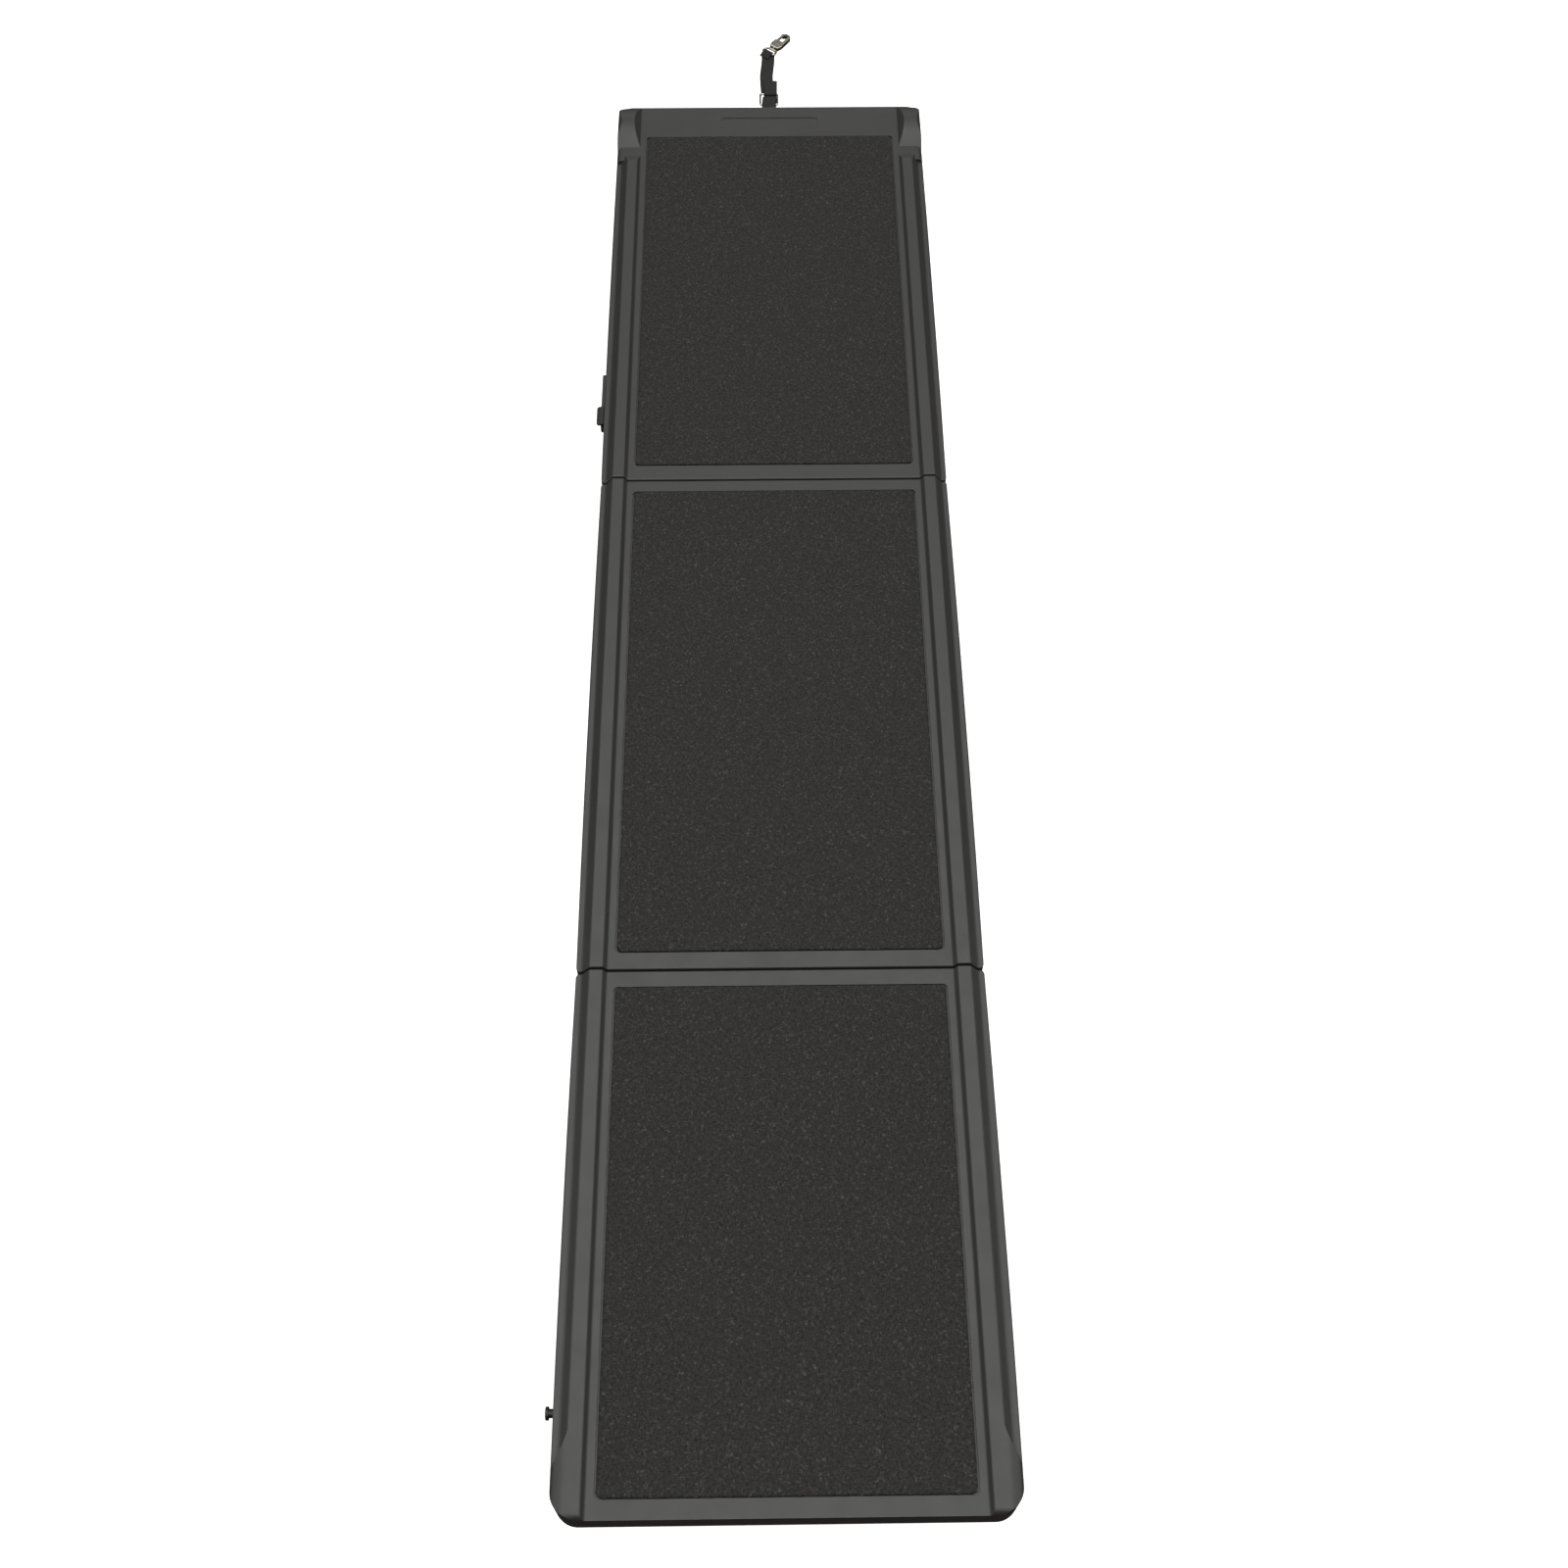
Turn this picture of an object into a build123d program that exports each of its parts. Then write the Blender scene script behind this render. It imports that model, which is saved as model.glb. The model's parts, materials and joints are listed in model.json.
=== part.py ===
"""Three-section folding dog ramp for a car, opened flat on the ground, in millimetres.

X runs across the ramp, Y from the ground end to the vehicle end, Z up. The origin is the middle of
the ground grip strip, on the surface that the ramp lies on. The ground section folds under the
middle section, then the vehicle section folds under both, so every fold closes at the underside.
"""

import os
from math import atan2, degrees, hypot

from build123d import *

# Overall size
SEAM_WIDTH = 404.8  # across a section at its ends
MIDDLE_WIDTH = 407.4  # across a section half way along: the long sides bow outwards
GROUND_LENGTH = 512.0
MIDDLE_LENGTH = 632.0
VEHICLE_LENGTH = 659.0
THICKNESS = 40.0  # underside to deck
RAIL_RISE = 6.0  # side rail above the deck
LEDGE_DROP = 5.0  # side ledge below the deck
GRIP_PROUD = 2.0  # rubber strips below the underside
SEAM_GAP = 2.0
WALL = 3.0

# Heights
UNDER = GRIP_PROUD
DECK = UNDER + THICKNESS
RAIL = DECK + RAIL_RISE
LEDGE = DECK - LEDGE_DROP
RECESS = 2.0  # depth of the mat's recess in the deck
PLATE_UNDERSIDE = DECK - RECESS - WALL

# Places along the ramp
GRIP_INSET = 22.0  # from the ground end to the middle of the ground grip strip
GROUND_END = -GRIP_INSET
LOWER_SEAM = GROUND_END + GROUND_LENGTH
UPPER_SEAM = LOWER_SEAM + MIDDLE_LENGTH
VEHICLE_END = UPPER_SEAM + VEHICLE_LENGTH

# Side profile, measured in from the nominal edge
EDGE = MIDDLE_WIDTH / 2
RAIL_INNER_FOOT = 171.5
RAIL_INNER_TOP = 175.0
RAIL_OUTER_TOP = 188.5
LEDGE_INNER = 196.5
UNDERSIDE_EDGE = EDGE - 2.3
SHOULDER_ROUND = 14.5  # rail's outer edge where there is no ledge
END_ROUND = 1.6  # upper edges at the seams

# Mats
MAT_WIDTH = 325.0
MAT_THICKNESS = 2.6
MAT_CORNER = 5.0
MAT_SIDE_GAP = 2.0  # between a mat's long edges and its recess
MAT_END_GAP = 1.0
STRIP_THICKNESS = 0.9  # hook-and-loop strip under a mat
GROUND_MAT = (GROUND_END + 17.5, LOWER_SEAM - 19.0)
MIDDLE_MAT = (LOWER_SEAM + 20.0, UPPER_SEAM - 18.0)
VEHICLE_MAT = (UPPER_SEAM + 23.0, VEHICLE_END - 60.0)

# Hinges: each fold is a pair of links, with one pin in each section
PIN_RISE = 6.0  # pin axis above the underside
FOLD_CLEARANCE = 3.0
LOWER_PITCH = FOLD_CLEARANCE + 2 * PIN_RISE
UPPER_PITCH = THICKNESS + RAIL_RISE + 2 * FOLD_CLEARANCE + 2 * PIN_RISE
HINGE_X = 128.0
PIN_Z = UNDER + PIN_RISE
PIN_RADIUS = 2.5
FIT = 0.05  # radial clearance of a pin or screw in its hole
LINK_HALF = 10.0
LINK_EYE = 5.0
CHEEK_INNER = 10.4
CHEEK_OUTER = 13.4
CHEEK_RADIUS = 5.5
NOTCH_HALF = 16.2
WEB_LOW = UNDER + 13.0
WEB_HIGH = UNDER + 16.0
FLANGE_HALF = 28.0
FLANGE_SCREW_X = 22.0
FLANGE_NEAR = 4.0  # past the pin, into the section
FLANGE_FAR = 12.0
FLANGE_SCREW_IN = 8.0

# Base pans and screws
PAN = 3.0
PAN_GAP = 0.3
SCREW_X = 178.0
SCREW_INSET = 34.0
SCREW_RADIUS = 1.5
HEAD_RADIUS = 3.5
HEAD_HEIGHT = 1.6
HEAD_SUNK = 0.3
BOSS_RADIUS = 4.5
CHANNEL_PITCH = 50.0
CHANNEL_WIDTH = 22.0
CHANNEL_DEPTH = 8.0
CHANNEL_END = 52.0
GRIP_LENGTH = 300.0
GRIP_WIDTH = 24.0
GRIP_DEPTH = 4.0

# Latch on the left side
LATCH_Z = UNDER + 18.0
PIVOT_Y = UPPER_SEAM + 176.0
KNOB_Y = GROUND_END + 93.0
PAD_FACE = EDGE + 0.2
ARM_INNER = PAD_FACE + 0.5
ARM_OUTER = ARM_INNER + 3.5
ARM_EYE = 9.0
TIP_HALF = 7.5
LATCH_SCREW = 3.0  # radius of the pivot screw and of the knob's shank
KNOB_NECK = 4.0
KNOB_HEAD = 6.0
KNOB_TIP = EDGE + 7.6

# Tether
WEBBING = 17.0
WEB_THICK = 1.5
RING_RADIUS = 1.5
RING_Z = 3.6
RING_NEAR = VEHICLE_END + 54.0
RING_FAR = RING_NEAR + 22.0
RING_HALF = 12.0
RING_CORNER = 2.2
LOOP_SLACK = 6.0  # how far the anchor loop reaches past the ring's near bar
# The strap's route: distance from the ring's far bar and height above the ground
STRAP_POINTS = [(4.5, 1.1), (36.5, 1.1), (50.0, 2.4), (62.0, 2.4), (75.0, 1.1), (92.0, 1.1)]
TAIL_LENGTH = 29.0

# Snap hook, drawn along +Y from the middle of its eye's straight bar
EYE_Y = RING_FAR + 90.0
EYE_HALF = 10.4
EYE_FAR_HALF = 7.5
EYE_DEPTH = 9.0
EYE_WIRE = 1.7
HOOK_TURN = -38.0  # the snap hook lies turned to the right of the strap
FOLD_HALF = 7.2  # the strap's fold round the eye's bar
FOLD_LENGTH = 8.0
STEM_RADIUS = 1.6  # the eye's post, which turns in the hook's socket
STEM_MIDDLE = EYE_DEPTH + 4.6
STEM_LENGTH = 7.0
STEM_HEAD_RADIUS = 2.0
STEM_HEAD_MIDDLE = EYE_DEPTH + 9.2
STEM_HEAD_LENGTH = 2.2
HOOK_LOW = EYE_DEPTH + 3.6
HOOK_SHOULDER = HOOK_LOW + 8.0
HOOK_HIGH = 46.5
HOOK_NECK_HALF = 7.0
HOOK_HALF = 8.8
HOOK_TIP_HALF = 7.4
HOOK_THICK_HALF = 3.2
HOOK_EDGE = 1.1
GATE_X = -6.1  # the gate's rivet
GATE_Y = 25.6
GATE_TOP = 40.0
GATE_HALF_THICK = 1.1
GATE_PIN_RADIUS = 0.8


def box(x0, x1, y0, y1, z0, z1):
    """A box between two corners."""
    return Pos((x0 + x1) / 2, (y0 + y1) / 2, (z0 + z1) / 2) * Box(x1 - x0, y1 - y0, z1 - z0)


def prism_y(outline, y0, y1):
    """An XZ outline carried from y0 to y1."""
    plane = Plane(origin=(0, y1, 0), x_dir=(1, 0, 0), z_dir=(0, -1, 0))
    return extrude(plane * outline, amount=y1 - y0)


def prism_x(outline, x0, x1):
    """A YZ outline carried from x0 to x1."""
    plane = Plane(origin=(x0, 0, 0), x_dir=(0, 1, 0), z_dir=(1, 0, 0))
    return extrude(plane * outline, amount=x1 - x0)


def prism_z(outline, z0, z1):
    """An XY outline carried from z0 to z1."""
    return Pos(0, 0, z0) * extrude(outline, amount=z1 - z0)


def rounded(points):
    """A closed outline through (x, y, corner radius) points."""
    corners = [(x, y) for x, y, _ in points]
    return make_face(FilletPolyline(*corners, radius=[r for _, _, r in points], close=True))


def mirrored(points):
    """The points of a right half, then the same ones of the left half."""
    return points + [(-x, y, r) for x, y, r in reversed(points)]


def post(x, y, z0, z1, radius):
    """An upright cylinder."""
    return Pos(x, y, (z0 + z1) / 2) * Cylinder(radius, z1 - z0)


def rod(x0, x1, y, z, radius):
    """A cylinder along X."""
    return Pos((x0 + x1) / 2, y, z) * Rot(0, 90, 0) * Cylinder(radius, x1 - x0)


def plan(y0, y1, low_corner, high_corner, inset=0.0):
    """A section seen from above: straight ends, bowed sides and rounded corners."""
    low, high, middle = y0 + inset, y1 - inset, (y0 + y1) / 2
    end, bow = SEAM_WIDTH / 2 - inset, MIDDLE_WIDTH / 2 - inset
    sides = [
        Line((-end, low), (end, low)),
        ThreePointArc((end, low), (bow, middle), (end, high)),
        Line((end, high), (-end, high)),
        ThreePointArc((-end, high), (-bow, middle), (-end, low)),
    ]
    face = make_face(sides)
    face = fillet(face.vertices().group_by(Axis.Y)[0], low_corner)
    return fillet(face.vertices().group_by(Axis.Y)[-1], high_corner)


def ledge_profile():
    """Across a section: deck, raised rails, sloping outer walls and side ledges."""
    return rounded(mirrored([
        (UNDERSIDE_EDGE, UNDER, 2.0),
        (EDGE + 0.1, LEDGE, 2.0),
        (LEDGE_INNER, LEDGE, 3.5),
        (RAIL_OUTER_TOP, RAIL, 2.5),
        (RAIL_INNER_TOP, RAIL, 2.0),
        (RAIL_INNER_FOOT, DECK, 2.5),
    ]))


def shoulder_profile():
    """Across a section where the rail is full width and well rounded, with no ledge."""
    return rounded(mirrored([
        (UNDERSIDE_EDGE, UNDER, 2.0),
        (EDGE, RAIL, SHOULDER_ROUND),
        (RAIL_INNER_TOP, RAIL, 2.0),
        (RAIL_INNER_FOOT, DECK, 2.5),
    ]))


def flat_profile():
    """Across the vehicle end, where the rail dies away into the deck."""
    return rounded(mirrored([(UNDERSIDE_EDGE, UNDER, 2.0), (EDGE, DECK, 7.0)]))


def side_limits(y0, y1, low_foot, high_foot):
    """A section from the side, with its lower corners rounded so that the folds can close."""
    top = RAIL + 20
    return rounded([(y0, UNDER, low_foot), (y1, UNDER, high_foot), (y1, top, 0), (y0, top, 0)])


def cavity(y0, y1, low_corner, high_corner):
    """The hollow inside a section, open at the bottom."""
    outline = rounded(mirrored([
        (EDGE - WALL - 2.2, UNDER - 1, 0),
        (EDGE - WALL - 0.6, LEDGE - WALL, 0),
        (RAIL_OUTER_TOP - 1, LEDGE - WALL, 0),
        (RAIL_INNER_TOP + 2, PLATE_UNDERSIDE, 0),
    ]))
    tube = prism_y(outline, y0, y1)
    return tube & prism_z(plan(y0, y1, low_corner, high_corner, WALL), UNDER - 1, DECK)


def rail_cores(y0, y1):
    """The hollows inside the two raised rails."""
    low, high = RAIL_INNER_TOP + WALL, RAIL_OUTER_TOP - WALL
    right = box(low, high, y0, y1, LEDGE - WALL - 1, RAIL - WALL)
    return right + mirror(right, about=Plane.YZ)


def mat_recess(y0, y1):
    """The shallow pocket that a mat lies in."""
    half, low, high = MAT_WIDTH / 2 + MAT_SIDE_GAP, y0 - MAT_END_GAP, y1 + MAT_END_GAP
    corners = [(-half, low), (half, low), (half, high), (-half, high)]
    return prism_z(rounded([(x, y, MAT_CORNER) for x, y in corners]), DECK - RECESS, DECK + 1)


def screw_places(y0, y1):
    """Where a base pan is screwed to its deck shell."""
    step = (y1 - y0 - 2 * SCREW_INSET) / 3
    return [(x, y0 + SCREW_INSET + step * i) for x in (-SCREW_X, SCREW_X) for i in range(4)]


def flange_places(pin_y, into):
    """Where the two hinge brackets on one pin line are screwed up into the deck shell."""
    y = pin_y + into * FLANGE_SCREW_IN
    return [(side * HINGE_X + x, y) for side in (-1, 1) for x in (-FLANGE_SCREW_X, FLANGE_SCREW_X)]


def boss(x, y, low):
    """A screw boss under the deck plate, with its pilot hole."""
    return post(x, y, low, PLATE_UNDERSIDE + 1, BOSS_RADIUS) - post(
        x, y, low - 1, UNDER + 16, SCREW_RADIUS + FIT
    )


def hinge_notches(seam, pin_y, into, top):
    """The openings that the links swing through, from the seam past the pins."""
    near, far = sorted((seam - into * 1.0, pin_y + into * (CHEEK_RADIUS + 4.0)))
    right = box(HINGE_X - NOTCH_HALF, HINGE_X + NOTCH_HALF, near, far, UNDER - 1, top)
    return right + mirror(right, about=Plane.YZ)


def end_edges(shell, y):
    """Rounds the upper edges of the end face at y."""
    edges = [e for e in shell.edges() if abs(e.center().Y - y) < 0.01 and e.center().Z > LEDGE - 0.5]
    return fillet(edges, END_ROUND)


def rail_end_rounding(y):
    """What is cut away so that the rails drop in a round to the ground end."""
    corner = box(-EDGE, EDGE, y - 1, y + RAIL_RISE, DECK, RAIL + 1)
    return corner - rod(-EDGE - 1, EDGE + 1, y + RAIL_RISE, DECK, RAIL_RISE)


def sweep_shoulder(y_end, into, length):
    """A shoulder beside the rail whose wall sweeps out to the edge, away from an end."""
    inner, outer = RAIL_OUTER_TOP - 6, EDGE + 4
    far = y_end + into * length
    near = y_end + into * length / 2
    sweep = ThreePointArc(
        (outer, near), (RAIL_OUTER_TOP + 5, (near + far) / 2 + into * 5), (RAIL_OUTER_TOP, far)
    )
    sides = [
        sweep,
        Line((RAIL_OUTER_TOP, far), (inner, far)),
        Line((inner, far), (inner, y_end)),
        Line((inner, y_end), (outer, y_end)),
        Line((outer, y_end), (outer, near)),
    ]
    right = prism_z(make_face(sides), UNDER, RAIL + 1)
    return right + mirror(right, about=Plane.YZ)


def ground_deck():
    """Deck shell of the section that stands on the ground."""
    y0, y1 = GROUND_END, LOWER_SEAM - SEAM_GAP / 2
    shell = end_edges(prism_y(ledge_profile(), y0, y1), y1)
    shell += prism_y(shoulder_profile(), y0, y0 + 75) & sweep_shoulder(y0, 1, 72)
    shell -= rail_end_rounding(y0)
    shell &= prism_z(plan(y0, y1, 26.0, 5.0), UNDER, RAIL + 1)
    shell &= prism_x(side_limits(y0, y1, 9.0, 5.0), -EDGE - 5, EDGE + 5)
    shell -= cavity(y0, y1, 22.0, 3.0)
    shell -= rail_cores(y0 + 34, y1 - 6)
    shell -= mat_recess(*GROUND_MAT)
    pin_y = LOWER_SEAM - LOWER_PITCH / 2
    shell -= hinge_notches(LOWER_SEAM, pin_y, -1, WEB_HIGH + 1)
    for place in screw_places(y0, y1):
        shell += boss(*place, UNDER + PAN + 0.2)
    for place in flange_places(pin_y, -1):
        shell += boss(*place, UNDER + PAN + 2.8)
    return latch_pad(shell, KNOB_Y)


def middle_deck():
    """Deck shell of the middle section."""
    y0, y1 = LOWER_SEAM + SEAM_GAP / 2, UPPER_SEAM - SEAM_GAP / 2
    shell = end_edges(end_edges(prism_y(ledge_profile(), y0, y1), y0), y1)
    shell &= prism_z(plan(y0, y1, 5.0, 5.0), UNDER, RAIL + 1)
    shell &= prism_x(side_limits(y0, y1, 5.0, 5.0), -EDGE - 5, EDGE + 5)
    shell -= cavity(y0, y1, 3.0, 3.0)
    shell -= rail_cores(y0 + 6, y1 - 6)
    shell -= mat_recess(*MIDDLE_MAT)
    for seam, pitch, into in ((LOWER_SEAM, LOWER_PITCH, 1), (UPPER_SEAM, UPPER_PITCH, -1)):
        pin_y = seam + into * pitch / 2
        shell -= hinge_notches(seam, pin_y, into, WEB_HIGH + 1)
        for place in flange_places(pin_y, into):
            shell += boss(*place, UNDER + PAN + 2.8)
    for place in screw_places(y0, y1):
        shell += boss(*place, UNDER + PAN + 0.2)
    return shell


def ears():
    """The two raised corners at the vehicle end: long low domes with steep inner walls."""
    chord, rise = 78.0, 12.0
    middle = VEHICLE_END - 1.5 - chord / 2
    reach = ((chord / 2) ** 2 + rise**2) / (2 * rise)
    dome = prism_x(Pos(middle, DECK + rise - reach) * Circle(reach), -EDGE, EDGE)
    slice_x = rounded([
        (170.5, DECK - 3, 0),
        (EDGE, DECK - 3, 0),
        (EDGE, DECK + rise + 1, 11.0),
        (181.0, DECK + rise + 1, 5.0),
    ])
    right = dome & prism_y(slice_x, middle - chord / 2 - 6, VEHICLE_END)
    return right + mirror(right, about=Plane.YZ)


def vehicle_deck():
    """Deck shell of the section that rests on the vehicle."""
    y0, y1 = UPPER_SEAM + SEAM_GAP / 2, VEHICLE_END
    fade = y1 - 97
    shell = end_edges(prism_y(ledge_profile(), y0, fade), y0)
    slope = [(fade - 14, RAIL + 0.2), (fade + 1, DECK), (fade + 1, RAIL + 2), (fade - 14, RAIL + 2)]
    shell -= prism_x(make_face(Polyline(*slope, close=True)), -EDGE - 5, EDGE + 5)
    shell += prism_y(flat_profile(), fade - 9, y1)
    shell += ears()
    shell &= prism_z(plan(y0, y1, 5.0, 18.0), UNDER, RAIL + 12)
    shell &= prism_x(side_limits(y0, y1, 5.0, 9.0), -EDGE - 5, EDGE + 5)
    shell -= cavity(y0, y1, 3.0, 15.0)
    shell -= rail_cores(y0 + 6, fade - 18)
    shell -= mat_recess(*VEHICLE_MAT)
    shell -= prism_z(Pos(0, y1 - 35) * RectangleRounded(130, 28, 5), DECK - 0.8, DECK + 1)
    pin_y = UPPER_SEAM + UPPER_PITCH / 2
    shell -= hinge_notches(UPPER_SEAM, pin_y, 1, WEB_HIGH + 1)
    shell -= box(-11, 11, y1 - WALL - 1, y1 + 1, UNDER - 1, UNDER + 6)
    for place in flange_places(pin_y, 1):
        shell += boss(*place, UNDER + PAN + 2.8)
    for place in screw_places(y0, y1):
        shell += boss(*place, UNDER + PAN + 0.2)
    return latch_pad(shell, PIVOT_Y)


def latch_pad(shell, y):
    """A deck shell with a flat round pad on its left wall, bored for the latch hardware."""
    shell += rod(-PAD_FACE, -EDGE + WALL + 4, y, LATCH_Z, 9.5)
    return shell - rod(-PAD_FACE - 1, -EDGE + WALL + 5, y, LATCH_Z, LATCH_SCREW + FIT)


def base_pan(y0, y1, low_corner, high_corner, hinges, grip_y=None):
    """Ribbed panel that closes a section from below."""
    gap = WALL + PAN_GAP
    outline = plan(y0, y1, low_corner, high_corner, gap + 2.2)
    pan = prism_z(outline, UNDER, UNDER + PAN)
    count = int((SCREW_X - CHANNEL_WIDTH) // CHANNEL_PITCH)
    low, high = y0 + CHANNEL_END, y1 - CHANNEL_END - (24 if grip_y else 0)
    if grip_y and grip_y < 100:
        low, high = y0 + CHANNEL_END + 6, y1 - CHANNEL_END
    for i in range(-count, count + 1):
        x = i * CHANNEL_PITCH
        ridge = Pos(x, (low + high) / 2) * RectangleRounded(CHANNEL_WIDTH, high - low, 8)
        groove = Pos(x, (low + high) / 2) * RectangleRounded(CHANNEL_WIDTH - 5, high - low - 5, 6)
        pan += prism_z(ridge, UNDER, UNDER + CHANNEL_DEPTH + 2.5)
        pan -= prism_z(groove, UNDER - 1, UNDER + CHANNEL_DEPTH)
    if grip_y is not None:
        half = GRIP_LENGTH / 2
        pan += box(-half - 3, half + 3, grip_y - 15, grip_y + 15, UNDER, UNDER + 5)
        pan -= prism_z(grip_outline(grip_y, PAN_GAP), UNDER - 1, UNDER + 2)
    places = screw_places(y0, y1)
    for seam, pin_y, into in hinges:
        pan -= hinge_notches(seam, pin_y, into, UNDER + 30)
        places = places + flange_places(pin_y, into)
    for x, y in places:
        pan -= post(x, y, UNDER - 1, UNDER + 6, SCREW_RADIUS + FIT)
        pan -= post(x, y, UNDER - 1, UNDER + HEAD_SUNK + HEAD_HEIGHT, HEAD_RADIUS + 0.3)
    return pan


def ground_pan():
    """Base pan of the ground section."""
    hinge = (LOWER_SEAM, LOWER_SEAM - LOWER_PITCH / 2, -1)
    return base_pan(GROUND_END, LOWER_SEAM - SEAM_GAP / 2, 22.0, 2.0, [hinge], 0.0)


def middle_pan():
    """Base pan of the middle section."""
    hinges = [
        (LOWER_SEAM, LOWER_SEAM + LOWER_PITCH / 2, 1),
        (UPPER_SEAM, UPPER_SEAM - UPPER_PITCH / 2, -1),
    ]
    return base_pan(LOWER_SEAM + SEAM_GAP / 2, UPPER_SEAM - SEAM_GAP / 2, 2.0, 2.0, hinges)


def vehicle_pan():
    """Base pan of the vehicle section, with the block that holds the tether."""
    hinge = (UPPER_SEAM, UPPER_SEAM + UPPER_PITCH / 2, 1)
    y1 = VEHICLE_END
    pan = base_pan(UPPER_SEAM + SEAM_GAP / 2, y1, 2.0, 14.0, [hinge], y1 - 56)
    pan += box(-23, 23, y1 - 37, y1 - WALL - PAN_GAP - 2.2, UNDER, UNDER + 13)
    pan -= box(-20.5, 20.5, y1 - 31.5, y1 - 8.5, UNDER - 1, UNDER + 2)
    pan -= box(-10.5, 10.5, y1 - 31.5, y1, UNDER - 1, UNDER + 5)
    for x in (-15, 15):
        pan -= post(x, y1 - 20, UNDER, UNDER + 11, SCREW_RADIUS + FIT)
    return pan


def screw(x, y, head_low, length):
    """A cross-head screw, driven upwards."""
    head_high = head_low + HEAD_HEIGHT
    body = post(x, y, head_low, head_high, HEAD_RADIUS)
    body += post(x, y, head_high, head_high + length, SCREW_RADIUS)
    for wide, deep in ((3.6, 0.9), (0.9, 3.6)):
        body -= box(x - wide / 2, x + wide / 2, y - deep / 2, y + deep / 2, head_low - 1, head_low + 0.8)
    return body


def pan_screws(y0, y1):
    """The screws of one base pan."""
    return [screw(x, y, UNDER + HEAD_SUNK, 12.0) for x, y in screw_places(y0, y1)]


def flange_screws(pins):
    """The screws that hold hinge brackets."""
    places = [place for pin_y, into in pins for place in flange_places(pin_y, into)]
    return [screw(x, y, UNDER + HEAD_SUNK, 12.5) for x, y in places]


def grip_outline(y, extra=0.0):
    """A grip strip from below."""
    return Pos(0, y) * RectangleRounded(GRIP_LENGTH + 2 * extra, GRIP_WIDTH + 2 * extra, 6)


def grip_strip(y):
    """Rubber strip with two long grooves, let into a base pan."""
    strip = prism_z(grip_outline(y), 0, GRIP_DEPTH)
    for offset in (-6, 6):
        strip -= box(-140, 140, y + offset - 1, y + offset + 1, -1, 1.2)
    return strip


def mat(y0, y1):
    """A traction mat, lying on its hook-and-loop strips."""
    half, low = MAT_WIDTH / 2, DECK - RECESS + STRIP_THICKNESS + 0.1
    corners = [(-half, y0), (half, y0), (half, y1), (-half, y1)]
    return prism_z(rounded([(x, y, MAT_CORNER) for x, y in corners]), low, low + MAT_THICKNESS)


def mat_strips(y0, y1):
    """Two hook-and-loop strips under a mat."""
    low = DECK - RECESS + 0.05
    return [box(x - 12, x + 12, y0 + 30, y1 - 30, low, low + STRIP_THICKNESS) for x in (-110, 110)]


def links(seam, pitch):
    """The two flat links of one fold."""
    out = []
    for side in (-1, 1):
        x0, x1 = side * HINGE_X - LINK_HALF, side * HINGE_X + LINK_HALF
        link = box(x0, x1, seam - pitch / 2, seam + pitch / 2, PIN_Z - LINK_EYE, PIN_Z + LINK_EYE)
        for y in (seam - pitch / 2, seam + pitch / 2):
            link += rod(x0, x1, y, PIN_Z, LINK_EYE)
        for y in (seam - pitch / 2, seam + pitch / 2):
            link -= rod(x0 - 1, x1 + 1, y, PIN_Z, PIN_RADIUS + FIT)
        if pitch > 4 * LINK_EYE:
            web = (seam - pitch / 2 + 11, seam + pitch / 2 - 11)
            link -= box(x0 + 4, x1 - 4, *web, PIN_Z - LINK_EYE - 1, PIN_Z - 2)
        out.append(link)
    return out


def brackets(pin_y, into):
    """The two steel brackets on one pin line: cheeks, a web over the link and side flanges."""
    out = []
    near, far = sorted((pin_y + into * FLANGE_NEAR, pin_y + into * FLANGE_FAR))
    web = sorted((pin_y - into * CHEEK_RADIUS, pin_y + into * FLANGE_FAR))
    for side in (-1, 1):
        x = side * HINGE_X
        cheeks = None
        for cheek in (-1, 1):
            x0, x1 = sorted((x + cheek * CHEEK_INNER, x + cheek * CHEEK_OUTER))
            plate = rod(x0, x1, pin_y, PIN_Z, CHEEK_RADIUS)
            plate += box(x0, x1, pin_y - CHEEK_RADIUS, pin_y + CHEEK_RADIUS, PIN_Z, WEB_HIGH)
            plate += box(x0, x1, near, far, UNDER + PAN + 0.2, WEB_HIGH)
            cheeks = plate if cheeks is None else cheeks + plate
        bracket = cheeks + box(x - CHEEK_OUTER, x + CHEEK_OUTER, *web, WEB_LOW, WEB_HIGH)
        for cheek in (-1, 1):
            x0, x1 = sorted((x + cheek * CHEEK_OUTER, x + cheek * FLANGE_HALF))
            bracket += box(x0, x1, near, far, UNDER + PAN + 0.2, UNDER + PAN + 2.6)
        bracket -= rod(x - FLANGE_HALF, x + FLANGE_HALF, pin_y, PIN_Z, PIN_RADIUS + FIT)
        for offset in (-FLANGE_SCREW_X, FLANGE_SCREW_X):
            y = pin_y + into * FLANGE_SCREW_IN
            bracket -= post(x + offset, y, UNDER, UNDER + 8, SCREW_RADIUS + FIT)
        out.append(bracket)
    return out


def pins(pin_y):
    """The two riveted pins of one pin line."""
    out = []
    for side in (-1, 1):
        x = side * HINGE_X
        pin = rod(x - CHEEK_OUTER - 0.2, x + CHEEK_OUTER + 0.2, pin_y, PIN_Z, PIN_RADIUS)
        for end in (-1, 1):
            x0, x1 = sorted((x + end * (CHEEK_OUTER + 0.2), x + end * (CHEEK_OUTER + 1.8)))
            pin += rod(x0, x1, pin_y, PIN_Z, 3.6)
        out.append(pin)
    return out


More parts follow.
